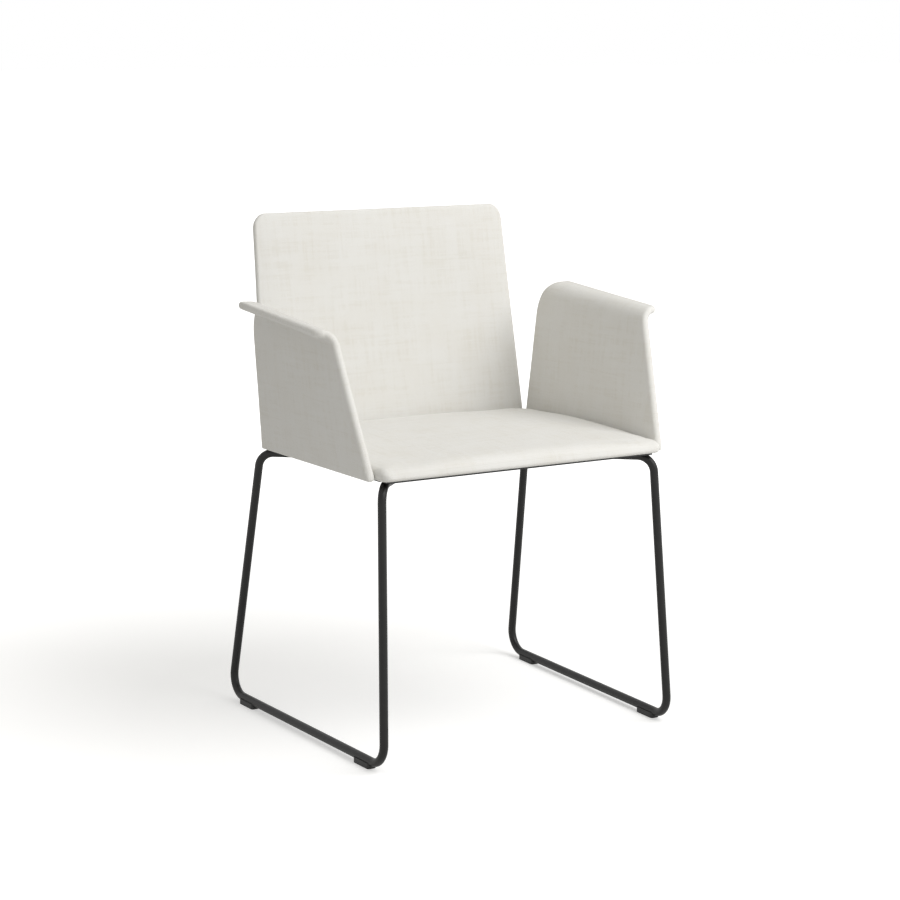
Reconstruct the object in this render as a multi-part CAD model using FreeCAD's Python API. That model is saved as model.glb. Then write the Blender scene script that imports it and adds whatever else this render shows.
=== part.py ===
import FreeCAD, Part
import math
import os

from FreeCAD import Placement, Rotation, Vector

# Sled base visitor chair, in millimetres. +Z is up, the sitter faces -Y, and the origin is on
# the floor under the middle of the chair. Left and right are as seen from the front: left is -X.
#
# The seat, back and arms are built in the shell frame: z = 0 is the flat underside of the
# shell, which leans back a little, and y runs backwards along it.

# Seat pad
seat_half_width = 236.8
seat_front_widening = 10.2
seat_front_y = -228.5
seat_rear_y = 158.8
seat_front_corner_radius = 14.0
seat_rear_corner_radius = 46.0
seat_nose_depth = 17.0
seat_nose_height = 8.0
seat_tail_depth = 9.0
seat_side_draw_in = 6.0
seat_bottom_draw_in = 1.6
seat_underside_spare = 4.0
seat_crown = 5.5
seat_side_height_front = 17.5
seat_side_height_knee = 25.0
seat_side_height_top = 30.5
seat_side_height_rear = 28.0
seat_knee_share = 0.30
seat_top_share = 0.65
turned_edge = 22.0
fabric_thickness = 1.2

# Seat board
board_thickness = 10.0
board_inset = 10.0
plate_pocket_clearance = 0.6

# Cover under the seat
under_cover_drop = 3.0
under_cover_inset = 11.0
turned_edge_clearance = 1.0
under_cover_window_clearance = 1.2
rod_groove_clearance = 0.5

# Shell: where its underside lies and how far it leans back
underside_height = 424.0
shell_lean = 1.1
rod_to_shell_gap = 0.3

# Sled frame: bent round bar and the plate that joins its two loops. Each loop toes out to the
# rear, and its legs splay to the floor.
rod_diameter = 13.0
front_leg_top_x = seat_half_width + 2.2
front_leg_top_y = seat_front_y + 18.7
rear_leg_top_x = seat_half_width + 11.6
rear_leg_top_y = seat_rear_y + 6.0
runner_front_x = front_leg_top_x + 14.7
runner_front_y = front_leg_top_y - 29.0
runner_rear_x = rear_leg_top_x + 18.9
runner_rear_y = rear_leg_top_y + 78.2
runner_bend_radius = 32.0
top_bend_radius = 26.0
rod_end_x = 70.0
plate_width = 200.0
plate_depth = 150.0
plate_thickness = 4.0
plate_corner_radius = 14.0

# Glides under the runners
glide_thickness = 4.0
glide_length = 44.0
glide_width = rod_diameter + 2.0
glide_wrap = 4.6
glide_end_radius = 4.0
glide_pin_diameter = 4.0
glide_pin_length = 3.0
glide_hole_clearance = 0.1
glide_hole_extra_depth = 0.5

# Back
back_front_y = seat_rear_y + 0.5
back_lean = 8.0
back_height = 369.0
back_half_width_bottom = seat_half_width + 5.0
back_half_width_top = back_half_width_bottom - 15.4
back_thickness = 12.2
back_corner_radius = 22.0
back_foot_corner_radius = 8.0
back_edge_softness = 4.5
back_crown = 1.6
back_crown_width = 45.0
back_core_thickness = 4.6
back_front_foam = 2.6
back_core_inset = 12.0

# Arms
arm_thickness = 12.5
arm_fabric_thickness = 1.0
arm_to_seat_gap = 0.6
arm_lean_front = 6.6
arm_lean_rear = 4.9
arm_fold_radius = 26.0
lip_rise = 3.5
lip_reach = seat_half_width + 66.2
lip_height_rear = 242.4
lip_height_front = 209.5
arm_front_foot_y = seat_front_y + 19.1
arm_front_top_y = arm_front_foot_y + 70.6
arm_rear_foot_y = back_front_y + 1.0
arm_rear_top_y = arm_rear_foot_y - 17.0
arm_front_foot_radius = 11.0
arm_front_top_radius = 24.0
arm_rear_foot_radius = 6.0
arm_rear_top_radius = 58.0
lip_rear_corner_radius = 46.0
lip_front_corner_radius = 16.0
arm_top_room = 3.0
arm_core_thickness = 4.0

# Steel bars that carry the arms and the back
bar_thickness = 2.5
bar_width = 30.0
bar_bend_radius = 8.0
front_hoop_y = seat_front_y + 98.5
rear_hoop_y = seat_rear_y - 88.8
hoop_leg_height = 130.0
back_bar_x = seat_half_width / 2.0
back_bar_front_y = seat_rear_y - 68.8
back_bar_height = 170.0
back_bar_thickness = 2.0

# Fasteners
plate_screw_diameter = 6.0
plate_screw_head_diameter = 11.0
plate_screw_head_height = 3.3
plate_screw_length = 12.0
washer_diameter = 12.5
washer_thickness = 1.6
plate_screw_x = 45.0
plate_screw_y = 50.0
plate_hole_diameter = 6.6
tee_nut_barrel_diameter = 8.0
tee_nut_flange_diameter = 19.0
tee_nut_flange_thickness = 1.5
bar_screw_diameter = 4.0
bar_screw_head_diameter = 8.0
board_screw_length = 8.5
arm_screw_length = 5.5
back_screw_length = 6.0
cover_screw_diameter = 3.5
cover_screw_head_diameter = 7.0
cover_screw_head_height = 1.6
cover_screw_length = 11.0
cover_screw_edge = 34.0
cover_screw_rear_x = seat_half_width - 72.0
hoop_screw_inner_x = 60.0
hoop_screw_outer_x = seat_half_width - 56.8
back_bar_screw_edge = 14.0
back_bar_screw_pitch = 28.0
arm_screw_low = 50.0
arm_screw_top_edge = 18.0
back_screw_low = 60.0

# How far a body runs past the cut that trims it, and the least rounding of an inset outline
overrun = 10.0
smallest_corner = 3.0

# Sizes that follow from the ones above
rod_radius = rod_diameter / 2.0
runner_height = glide_thickness + rod_radius
rod_drop = rod_to_shell_gap + rod_radius
plate_bottom = -rod_to_shell_gap
board_bottom = fabric_thickness
board_top = board_bottom + board_thickness
seat_depth = seat_rear_y - seat_front_y
seat_knee_y = seat_front_y + seat_depth * seat_knee_share
seat_top_y = seat_front_y + seat_depth * seat_top_share
shell_place = Placement(Vector(0, 0, underside_height), Rotation(Vector(1, 0, 0), -shell_lean))
X_AXIS = Vector(1, 0, 0)
Y_AXIS = Vector(0, 1, 0)
Z_AXIS = Vector(0, 0, 1)


def moved(shape, place):
    placed = shape.copy()
    placed.Placement = place.multiply(placed.Placement)
    return placed


def in_room(shape):
    """Move a shape from the shell frame to its place in the chair."""
    return moved(shape, shell_place)


def mirrored(shape):
    """The same shape on the other side of the chair."""
    return shape.mirror(Vector(0, 0, 0), X_AXIS)


def wire_of(*edges):
    return Part.Wire([edge.toShape() for edge in edges])


def line(start, end):
    return Part.LineSegment(start, end)


def arc(start, middle, end):
    return Part.Arc(start, middle, end)


def rounded_path(points, radii):
    """An open wire of straight runs through points, with a tangent arc at each inner point."""
    edges = []
    start = points[0]
    for index in range(1, len(points) - 1):
        corner = points[index]
        back = (points[index - 1] - corner).normalize()
        ahead = (points[index + 1] - corner).normalize()
        half_angle = back.getAngle(ahead) / 2.0
        radius = radii[index - 1]
        reach = radius / math.tan(half_angle)
        entry = corner + back * reach
        leave = corner + ahead * reach
        bisector = (back + ahead).normalize()
        middle = corner + bisector * (radius / math.sin(half_angle) - radius)
        edges.append(line(start, entry))
        edges.append(arc(entry, middle, leave))
        start = leave
    edges.append(line(start, points[-1]))
    return wire_of(*edges)


def rounded_outline(corners, radii):
    """A closed wire through corners, with a tangent arc of its own radius at each corner."""
    count = len(corners)
    arcs = []
    for index in range(count):
        corner = corners[index]
        back = (corners[index - 1] - corner).normalize()
        ahead = (corners[(index + 1) % count] - corner).normalize()
        half_angle = back.getAngle(ahead) / 2.0
        radius = radii[index]
        reach = radius / math.tan(half_angle)
        bisector = (back + ahead).normalize()
        middle = corner + bisector * (radius / math.sin(half_angle) - radius)
        arcs.append((corner + back * reach, middle, corner + ahead * reach))
    edges = []
    for index in range(count):
        entry, middle, leave = arcs[index]
        edges.append(arc(entry, middle, leave))
        edges.append(line(leave, arcs[(index + 1) % count][0]))
    return wire_of(*edges)


def slab(outline, direction):
    """A solid made by pushing a closed outline along a direction."""
    return Part.Face(outline).extrude(direction)


def plan_slab(corners, radii, low, high):
    """A flat solid between two heights, from (x, y) corners."""
    outline = rounded_outline([Vector(x, y, low) for x, y in corners], radii)
    return slab(outline, Z_AXIS * (high - low))


def box_corners(half_width, front, rear):
    return [(-half_width, front), (half_width, front), (half_width, rear), (-half_width, rear)]


def pin(diameter, length, base, direction):
    return Part.makeCylinder(diameter / 2.0, length, base, direction)


def headed_screw(diameter, length, head_diameter, head_height, seat, direction):
    """A screw whose head stands on seat and whose shank runs along direction."""
    direction = Vector(direction).normalize()
    shank = pin(diameter, length, seat, direction)
    head = pin(head_diameter, head_height, seat - direction * head_height, direction)
    return head.fuse(shank).removeSplitter()


def group(solids):
    return Part.makeCompound(solids)


# Sled frame
def shell_point(x, y, z):
    """Where a point of the shell frame lies in the chair."""
    return shell_place.multVec(Vector(x, y, z))


def loop_path(side):
    """Centre line of one bent bar: plate, front leg, runner, rear leg, plate."""
    front_top = shell_point(side * front_leg_top_x, front_leg_top_y, -rod_drop)
    rear_top = shell_point(side * rear_leg_top_x, rear_leg_top_y, -rod_drop)
    front_run = front_leg_top_x - rod_end_x
    rear_run = rear_leg_top_x - rod_end_x
    front_end = shell_point(side * rod_end_x, front_leg_top_y + front_run, -rod_drop)
    rear_end = shell_point(side * rod_end_x, rear_leg_top_y - rear_run, -rod_drop)
    runner_front = Vector(side * runner_front_x, runner_front_y, runner_height)
    runner_rear = Vector(side * runner_rear_x, runner_rear_y, runner_height)
    points = [front_end, front_top, runner_front, runner_rear, rear_top, rear_end]
    radii = [top_bend_radius, runner_bend_radius, runner_bend_radius, top_bend_radius]
    return rounded_path(points, radii)


def glide_places(side):
    """Where the two glides of one runner stand: each starts where its bend ends and lies along the runner."""
    runner = loop_path(side).Edges[4]
    front, rear = sorted((vertex.Point for vertex in runner.Vertexes), key=lambda point: point.y)
    ahead = (rear - front).normalize()
    turn = Rotation(Z_AXIS, math.degrees(math.atan2(-ahead.x, ahead.y)))
    middles = [front + ahead * (glide_length / 2.0), rear - ahead * (glide_length / 2.0)]
    return [Placement(Vector(middle.x, middle.y, 0), turn) for middle in middles]


def sled_loop(side):
    path = loop_path(side)
    start = path.Vertexes[0].Point
    ahead = path.Edges[0].tangentAt(path.Edges[0].FirstParameter)
    section = Part.Wire([Part.Circle(start, ahead, rod_radius).toShape()])
    bar = path.makePipeShell([section], True, False)
    hole = glide_pin_diameter + 2.0 * glide_hole_clearance
    hole_top = glide_thickness + glide_pin_length + glide_hole_extra_depth
    for place in glide_places(side):
        bar = bar.cut(pin(hole, hole_top, place.Base, Z_AXIS))
    return bar


def glide(place):
    """A plastic pad that hugs the lower part of the runner, with a pin up into it."""
    half_length = glide_length / 2.0
    corners = box_corners(glide_width / 2.0, -half_length, half_length)
    pad = plan_slab(corners, [glide_end_radius] * 4, 0.0, glide_thickness + glide_wrap)
    runner = pin(rod_diameter, glide_length, Vector(0, -half_length, runner_height), Y_AXIS)
    root = glide_thickness / 2.0
    peg = pin(glide_pin_diameter, glide_pin_length + root, Vector(0, 0, root), Z_AXIS)
    return moved(pad.cut(runner).fuse(peg).removeSplitter(), place)


def plate_middle_y():
    """The plate sits midway between the ends of the bars."""
    front_end = front_leg_top_y + front_leg_top_x - rod_end_x
    rear_end = rear_leg_top_y - rear_leg_top_x + rod_end_x
    return (front_end + rear_end) / 2.0


def plate_screw_places():
    middle = plate_middle_y()
    return [(x, middle + y) for x in (-plate_screw_x, plate_screw_x) for y in (-plate_screw_y, plate_screw_y)]


def plate_blank(low, high, extra):
    middle = plate_middle_y()
    half_depth = plate_depth / 2.0 + extra
    corners = box_corners(plate_width / 2.0 + extra, middle - half_depth, middle + half_depth)
    return plan_slab(corners, [plate_corner_radius + extra] * 4, low, high)


def mounting_plate():
    plate = plate_blank(plate_bottom, plate_bottom + plate_thickness, 0.0)
    for x, y in plate_screw_places():
        plate = plate.cut(pin(plate_hole_diameter, plate_thickness, Vector(x, y, plate_bottom), Z_AXIS))
    return plate


def rod_envelope():
    """The space that the bars take under the shell, a little wider than they are."""
    wide = rod_diameter + 2.0 * rod_groove_clearance
    leg_tops = ((front_leg_top_x, front_leg_top_y, 1), (rear_leg_top_x, rear_leg_top_y, -1))
    shapes = []
    for side in (-1, 1):
        for top_x, top_y, turn in leg_tops:
            start = Vector(side * top_x, top_y, -rod_drop)
            ahead = Vector(-side, turn, 0).normalize()
            shapes.append(pin(wide, (top_x - rod_end_x) * math.sqrt(2.0) + rod_radius, start, ahead))
    return group(shapes)


# Seat pad
def blend(value, low, high, at_low, at_high):
    """Smooth step from at_low to at_high as value goes from low to high."""
    share = min(max((value - low) / (high - low), 0.0), 1.0)
    return at_low + (at_high - at_low) * share * share * (3.0 - 2.0 * share)


def seat_half_at(y):
    """Half width of the seat: it is wider at the front."""
    return seat_half_width + seat_front_widening * (seat_rear_y - y) / seat_depth


def seat_side_height(y):
    """Height of the pad where it meets an arm."""
    if y < seat_knee_y:
        return blend(y, 2.0 * seat_front_y - seat_knee_y, seat_knee_y,
                     2.0 * seat_side_height_front - seat_side_height_knee, seat_side_height_knee)
    if y < seat_top_y:
        turn = math.pi / 2.0 * (y - seat_knee_y) / (seat_top_y - seat_knee_y)
        return seat_side_height_knee + (seat_side_height_top - seat_side_height_knee) * math.sin(turn)
    return blend(y, seat_top_y, seat_rear_y, seat_side_height_top, seat_side_height_rear)


def quarter(distance, depth):
    """Share of full size at a distance in from a rounded end of that depth."""
    share = min(max(distance / depth, 0.0), 1.0)
    return math.sqrt(max(1.0 - (1.0 - share) ** 2, 0.0))


def seat_section(y, inset):
    """Closed outline of the pad at one place from front to rear, inset all round."""
    from_front = y - (seat_front_y + inset)
    from_rear = (seat_rear_y - inset) - y
    front_corner = seat_front_corner_radius - inset
    rear_corner = seat_rear_corner_radius - inset
    half = seat_half_at(y) - inset
    half -= front_corner * (1.0 - quarter(from_front, front_corner))
    half -= rear_corner * (1.0 - quarter(from_rear, rear_corner))
    full_top = seat_side_height(y)
    nose = quarter(from_front, seat_nose_depth - inset)
    tail = quarter(from_rear, seat_tail_depth - inset)
    swell = nose * tail
    middle = seat_nose_height
    top = middle + (full_top - inset - middle) * swell
    bottom = middle - (middle + seat_underside_spare) * swell
    crown = top + seat_crown * swell
    waist = (top + bottom) / 2.0
    draw = seat_side_draw_in * swell
    foot = seat_bottom_draw_in * swell
    return wire_of(
        line(Vector(-half + foot, y, bottom), Vector(half - foot, y, bottom)),
        arc(Vector(half - foot, y, bottom), Vector(half, y, waist), Vector(half - draw, y, top)),
        arc(Vector(half - draw, y, top), Vector(0, y, crown), Vector(-half + draw, y, top)),
        arc(Vector(-half + draw, y, top), Vector(-half, y, waist), Vector(-half + foot, y, bottom)))


def seat_stations(inset):
    """Places from front to rear: close together at the rounded ends."""
    nose_angles = (14, 32, 50, 70, 90)
    middle_shares = (0.072, 0.227, 0.355, 0.483, 0.65, 0.765)
    tail_angles = (90, 70, 52, 37, 24, 12)
    front = seat_front_y + inset
    rear = seat_rear_y - inset
    nose = seat_nose_depth - inset
    corner = seat_rear_corner_radius - inset
    places = [front + nose * (1.0 - math.cos(math.radians(angle))) for angle in nose_angles]
    places += [seat_front_y + seat_depth * share for share in middle_shares]
    places += [rear - corner * (1.0 - math.cos(math.radians(angle))) for angle in tail_angles]
    return places


def seat_pad(inset):
    """The pad, lofted a little too deep and then cut off flat underneath."""
    far = 2.0 * (seat_half_width + seat_depth)
    pad = Part.makeLoft([seat_section(y, inset) for y in seat_stations(inset)], True, False)
    above = Part.makeBox(2.0 * far, 2.0 * far, far, Vector(-far, -far, inset))
    return pad.common(above)


def seat_plan(inset, low, high):
    """A flat solid with the outline of the pad seen from above, inset all round."""
    front = seat_front_y + inset
    rear = seat_rear_y - inset
    half_front = seat_half_at(front) - inset
    half_rear = seat_half_at(rear) - inset
    corners = [(-half_front, front), (half_front, front), (half_rear, rear), (-half_rear, rear)]
    front_radius = seat_front_corner_radius - inset * 0.6
    rear_radius = seat_rear_corner_radius - inset * 0.6
    return plan_slab(corners, [front_radius, front_radius, rear_radius, rear_radius], low, high)


def seat_board_blank():
    return seat_plan(board_inset, board_bottom, board_top)


# Back
def back_place():
    """The back's own frame: x across, y through its thickness, z up along it."""
    return Placement(Vector(0, back_front_y, 0), Rotation(Vector(1, 0, 0), -back_lean))


def back_outline(depth, inset):
    """Outline of the back at one depth behind its front face."""
    top = back_height - inset
    bottom = inset
    half_bottom = back_half_width_bottom - inset
    half_top = back_half_width_top - inset
    corners = [Vector(-half_bottom, depth, bottom), Vector(half_bottom, depth, bottom),
               Vector(half_top, depth, top), Vector(-half_top, depth, top)]
    top_radius = max(back_corner_radius - inset * 0.8, smallest_corner)
    foot_radius = max(back_foot_corner_radius - inset * 0.5, smallest_corner)
    return rounded_outline(corners, [foot_radius, foot_radius, top_radius, top_radius])


def back_layers(inset):
    """Depth and outline inset of each layer from the front face to the middle of the back."""
    layers = [(inset, inset + back_edge_softness + back_crown_width)]
    rounding_depth = back_thickness / 2.0 - back_crown - inset
    for angle in (0, 22, 45, 67, 90):
        turn = math.radians(angle)
        depth = back_crown + rounding_depth * (1.0 - math.cos(turn))
        edge = back_edge_softness * (1.0 - math.sin(turn))
        layers.append((inset + depth, inset + edge))
    return layers


def back_slab(inset):
    """The cushioned back: soft edges and a slight crown on both faces."""
    layers = back_layers(inset)
    wires = [back_outline(depth, edge) for depth, edge in layers]
    wires += [back_outline(back_thickness - depth, edge) for depth, edge in reversed(layers[:-1])]
    return Part.makeLoft(wires, True, True)


def back_sheet(low, high, inset):
    """A flat layer of the back between two depths."""
    return slab(back_outline(low, inset), Y_AXIS * (high - low))


# Arms
def arm_share_at(y):
    """0 at the arm's front foot and 1 at its rear foot."""
    return (y - arm_front_foot_y) / (arm_rear_foot_y - arm_front_foot_y)


def arm_lean_at(y):
    return math.radians(arm_lean_front + (arm_lean_rear - arm_lean_front) * arm_share_at(y))


def arm_base_at(y):
    """How far out the arm's inner face stands at its foot, close beside the seat."""
    return seat_half_at(y) + arm_to_seat_gap


def arm_profile(y, inset):
    """Section of an arm at one place: leaning wall, fold and lip, as (x, z) points and arcs."""
    share = arm_share_at(y)
    lean = arm_lean_at(y)
    rise = math.radians(90.0 - lip_rise)
    wall = Vector(math.sin(lean), 0, math.cos(lean))
    lip = Vector(math.sin(rise), 0, math.cos(rise))
    wall_out = Vector(math.cos(lean), 0, -math.sin(lean))
    lip_out = Vector(math.cos(rise), 0, -math.sin(rise))
    height = lip_height_front + (lip_height_rear - lip_height_front) * share
    outer_radius = arm_fold_radius - inset
    inner_radius = arm_fold_radius - arm_thickness + inset
    half = arm_thickness / 2.0 - inset
    foot = Vector(arm_base_at(y), y, 0)
    tip_middle_x = lip_reach - arm_thickness / 2.0
    # The fold's centre lies one fold radius out from the wall's inner face. It is found by
    # sliding it up the wall until the lip's top meets the wanted height at the tip.
    base_centre = foot + wall_out * arm_fold_radius
    lip_start = base_centre - lip_out * arm_fold_radius
    rise_per_slide = wall.z - wall.x * lip.z / lip.x
    lip_top_at_tip = lip_start.z + (tip_middle_x - lip_start.x) * lip.z / lip.x
    slide = (height - lip_top_at_tip) / rise_per_slide
    centre = base_centre + wall * slide
    bottom_inner = foot + wall_out * inset
    bottom_outer = foot + wall_out * (arm_thickness - inset)
    bottom_inner = bottom_inner + wall * ((inset - bottom_inner.z) / wall.z)
    bottom_outer = bottom_outer + wall * ((inset - bottom_outer.z) / wall.z)
    inner_wall_top = centre - wall_out * outer_radius
    outer_wall_top = centre - wall_out * inner_radius
    halfway = (wall_out + lip_out).normalize()
    lip_top_start = centre - lip_out * outer_radius
    lip_under_start = centre - lip_out * inner_radius
    lip_middle = centre - lip_out * (arm_fold_radius - arm_thickness / 2.0)
    tip_middle = lip_middle + lip * ((tip_middle_x - lip_middle.x) / lip.x)
    tip_top = tip_middle - lip_out * half
    tip_end = tip_middle + lip * half
    tip_under = tip_middle + lip_out * half
    round_share = math.sqrt(0.5) * half
    upper_round = tip_middle - lip_out * round_share + lip * round_share
    lower_round = tip_middle + lip_out * round_share + lip * round_share
    return wire_of(
        line(bottom_inner, inner_wall_top),
        arc(inner_wall_top, centre - halfway * outer_radius, lip_top_start),
        line(lip_top_start, tip_top),
        arc(tip_top, upper_round, tip_end),
        arc(tip_end, lower_round, tip_under),
        line(tip_under, lip_under_start),
        arc(lip_under_start, centre - halfway * inner_radius, outer_wall_top),
        line(outer_wall_top, bottom_outer),
        line(bottom_outer, bottom_inner))


def arm_side_cut(inset):
    """The arm's outline seen from the side, as a solid across its whole width."""
    front_slope = (arm_front_top_y - arm_front_foot_y) / lip_height_front
    rear_slope = (arm_rear_top_y - arm_rear_foot_y) / lip_height_rear
    low = inset
    front_high = lip_height_front + arm_top_room
    rear_high = lip_height_rear + arm_top_room
    corners = [Vector(0, arm_front_foot_y + inset + front_slope * low, low),
               Vector(0, arm_rear_foot_y - inset + rear_slope * low, low),
               Vector(0, arm_rear_foot_y - inset + rear_slope * rear_high, rear_high),
               Vector(0, arm_front_foot_y + inset + front_slope * front_high, front_high)]
    radii = [arm_front_foot_radius - inset, arm_rear_foot_radius - inset * 0.5,
             arm_rear_top_radius - inset, arm_front_top_radius - inset]
    return slab(rounded_outline(corners, radii), X_AXIS * (lip_reach + overrun))


def arm_plan_cut(inset):
    """The arm's outline seen from above, as an upright solid: it rounds the two ends of the lip."""
    low = -overrun
    high = lip_height_rear + 2.0 * arm_thickness
    reach = lip_reach - inset
    front = arm_front_top_y + inset
    rear = arm_rear_foot_y - inset
    front_radius = lip_front_corner_radius - inset / 2.0
    rear_radius = lip_rear_corner_radius - inset / 2.0
    ahead = Vector(reach - front_radius, arm_front_foot_y - overrun, low)
    front_corner = Vector(reach - front_radius, front, low)
    front_tip = Vector(reach, front + front_radius, low)
    rear_tip = Vector(reach, rear - rear_radius, low)
    rear_corner = Vector(reach - rear_radius, rear, low)
    cut_45 = math.sqrt(0.5)
    front_round = Vector(front_corner.x + front_radius * cut_45, front_tip.y - front_radius * cut_45, low)
    rear_round = Vector(rear_corner.x + rear_radius * cut_45, rear_tip.y + rear_radius * cut_45, low)
    inner_front = Vector(0, ahead.y, low)
    inner_rear = Vector(0, rear, low)
    outline = wire_of(
        line(inner_front, ahead),
        line(ahead, front_corner),
        arc(front_corner, front_round, front_tip),
        line(front_tip, rear_tip),
        arc(rear_tip, rear_round, rear_corner),
        line(rear_corner, inner_rear),
        line(inner_rear, inner_front))
    return slab(outline, Z_AXIS * (high - low))


def arm_solid(inset):
    """Right arm, from its leaning wall to the tip of its lip, inset all round."""
    front = arm_front_foot_y - overrun
    rear = arm_rear_foot_y + overrun
    body = Part.makeLoft([arm_profile(front, inset), arm_profile(rear, inset)], True, True)
    return body.common(arm_side_cut(inset)).common(arm_plan_cut(inset))


# Steel bars inside the shell
def bar_along(points, radii, thickness, width_axis, width):
    """A flat bar bent along a path that lies in its middle, with its width across the path."""
    path = rounded_path(points, radii)
    ahead = path.Edges[0].tangentAt(path.Edges[0].FirstParameter)
    out = ahead.cross(width_axis).normalize()
    start = path.Vertexes[0].Point
    corners = [start + out * (thickness / 2.0) * a + width_axis * (width / 2.0) * b
               for a, b in ((1, 1), (1, -1), (-1, -1), (-1, 1))]
    section = Part.makePolygon(corners + [corners[0]])
    return path.makePipeShell([section], True, False)


def hoop_leg_line(y):
    """Foot and upward direction of the middle of a hoop's leg inside the right arm."""
    lean = arm_lean_at(y)
    wall = Vector(math.sin(lean), 0, math.cos(lean))
    wall_out = Vector(math.cos(lean), 0, -math.sin(lean))
    depth = (arm_thickness - arm_core_thickness - bar_thickness) / 2.0
    return Vector(arm_base_at(y), y, 0) + wall_out * depth, wall


def arm_hoop(y):
    """A flat bar that crosses under the seat board and rises into both arms."""
    foot, wall = hoop_leg_line(y)
    low = board_bottom + bar_thickness / 2.0
    corner = foot + wall * ((low - foot.z) / wall.z)
    top = foot + wall * hoop_leg_height
    points = [Vector(-top.x, y, top.z), Vector(-corner.x, y, corner.z), corner, top]
    return bar_along(points, [bar_bend_radius] * 2, bar_thickness, Y_AXIS, bar_width)


def back_direction():
    lean = math.radians(back_lean)
    return Vector(0, math.sin(lean), math.cos(lean)), Vector(0, math.cos(lean), -math.sin(lean))


def back_bar(side):
    """A flat bar screwed under the seat board that rises inside the back."""
    up, through = back_direction()
    depth = fabric_thickness + back_front_foam - back_bar_thickness / 2.0
    foot = Vector(side * back_bar_x, back_front_y, 0) + through * depth
    low = board_bottom + back_bar_thickness / 2.0
    corner = foot + up * ((low - foot.z) / up.z)
    top = foot + up * back_bar_height
    start = Vector(side * back_bar_x, back_bar_front_y, low)
    return bar_along([start, corner, top], [bar_bend_radius], back_bar_thickness, X_AXIS, bar_width)


# Screws, washers and nuts
def sunk_screw(seat, direction, length):
    """A countersunk screw: its head is flush with seat and its shank runs along direction."""
    direction = Vector(direction).normalize()
    head_radius = bar_screw_head_diameter / 2.0
    shank_radius = bar_screw_diameter / 2.0
    head = Part.makeCone(head_radius, shank_radius, head_radius - shank_radius, seat, direction)
    return head.fuse(pin(bar_screw_diameter, length, seat, direction)).removeSplitter()


def hoop_screws():
    """Screws that hold the arm hoops up against the seat board."""
    across = [side * x for x in (hoop_screw_inner_x, hoop_screw_outer_x) for side in (-1, 1)]
    return [sunk_screw(Vector(x, y, board_bottom), Z_AXIS, board_screw_length)
            for y in (front_hoop_y, rear_hoop_y) for x in across]


def back_bar_screws():
    """Screws that hold the back bars up against the seat board."""
    first = back_bar_front_y + back_bar_screw_edge
    return [sunk_screw(Vector(side * back_bar_x, y, board_bottom), Z_AXIS, board_screw_length)
            for y in (first, first + back_bar_screw_pitch) for side in (-1, 1)]


def right_arm_screws():
    """Screws through the legs of the hoops into the core of the right arm."""
    screws = []
    for y in (front_hoop_y, rear_hoop_y):
        foot, wall = hoop_leg_line(y)
        lean = arm_lean_at(y)
        out = Vector(math.cos(lean), 0, -math.sin(lean))
        for height in (arm_screw_low, hoop_leg_height - arm_screw_top_edge):
            seat = foot + wall * height - out * (bar_thickness / 2.0)
            screws.append(sunk_screw(seat, out, arm_screw_length))
    return screws


def back_screws():
    """Screws through the back bars into the core of the back."""
    up, through = back_direction()
    front_face = fabric_thickness + back_front_foam - back_bar_thickness
    screws = []
    for side in (-1, 1):
        for height in (back_screw_low, back_bar_height - arm_screw_top_edge):
            seat = Vector(side * back_bar_x, back_front_y, 0) + through * front_face + up * height
            screws.append(sunk_screw(seat, through, back_screw_length))
    return screws


def plate_screw_seat(x, y):
    return Vector(x, y, plate_bottom - washer_thickness)


def plate_screws():
    return [headed_screw(plate_screw_diameter, plate_screw_length, plate_screw_head_diameter,
                         plate_screw_head_height, plate_screw_seat(x, y), Z_AXIS)
            for x, y in plate_screw_places()]


def plate_washers():
    """Flat washers between the screw heads and the plate."""
    washers = []
    for x, y in plate_screw_places():
        seat = plate_screw_seat(x, y)
        washers.append(pin(washer_diameter, washer_thickness, seat, Z_AXIS).cut(
            pin(plate_screw_diameter, washer_thickness, seat, Z_AXIS)))
    return washers


def tee_nut_blank(x, y):
    plate_top = plate_bottom + plate_thickness
    barrel = pin(tee_nut_barrel_diameter, board_top - plate_top, Vector(x, y, plate_top), Z_AXIS)
    flange_base = Vector(x, y, board_top - tee_nut_flange_thickness)
    flange = pin(tee_nut_flange_diameter, tee_nut_flange_thickness, flange_base, Z_AXIS)
    return barrel.fuse(flange).removeSplitter()


def tee_nuts():
    """Threaded inserts let into the top of the seat board."""
    nuts = []
    for x, y in plate_screw_places():
        bore = pin(plate_screw_diameter, 2.0 * board_top, Vector(x, y, 0), Z_AXIS)
        nuts.append(tee_nut_blank(x, y).cut(bore))
    return nuts


def cover_screw_places():
    """Round the rim of the under-seat cover, clear of the bars."""
    side_x = seat_half_width - cover_screw_edge
    front = seat_front_y + cover_screw_edge
    rear = seat_rear_y - cover_screw_edge
    middle = plate_middle_y()
    return [(-side_x, front), (0.0, front), (side_x, front), (-side_x, middle), (side_x, middle),
            (-cover_screw_rear_x, rear), (0.0, rear), (cover_screw_rear_x, rear)]


def cover_screws():
    return [headed_screw(cover_screw_diameter, cover_screw_length, cover_screw_head_diameter,
                         cover_screw_head_height, Vector(x, y, -under_cover_drop), Z_AXIS)
            for x, y in cover_screw_places()]


# Upholstered parts
def cut_all(shape, tools):
    for tool in tools:
        shape = shape.cut(tool)
    return shape


def seat_board(bars, screws, nuts):
    board = seat_board_blank()
    board = board.cut(plate_blank(0.0, plate_bottom + plate_thickness, plate_pocket_clearance))
    return cut_all(board, bars + screws + nuts)


def seat_foam(bars):
    return cut_all(seat_pad(fabric_thickness), [seat_board_blank()] + bars)


def seat_upholstery(bars):
    """The cover: it wraps the foam and turns under the rim of the board."""
    opening = seat_plan(turned_edge, -overrun, board_bottom)
    return cut_all(seat_pad(0.0), [seat_pad(fabric_thickness), opening] + bars)


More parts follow.
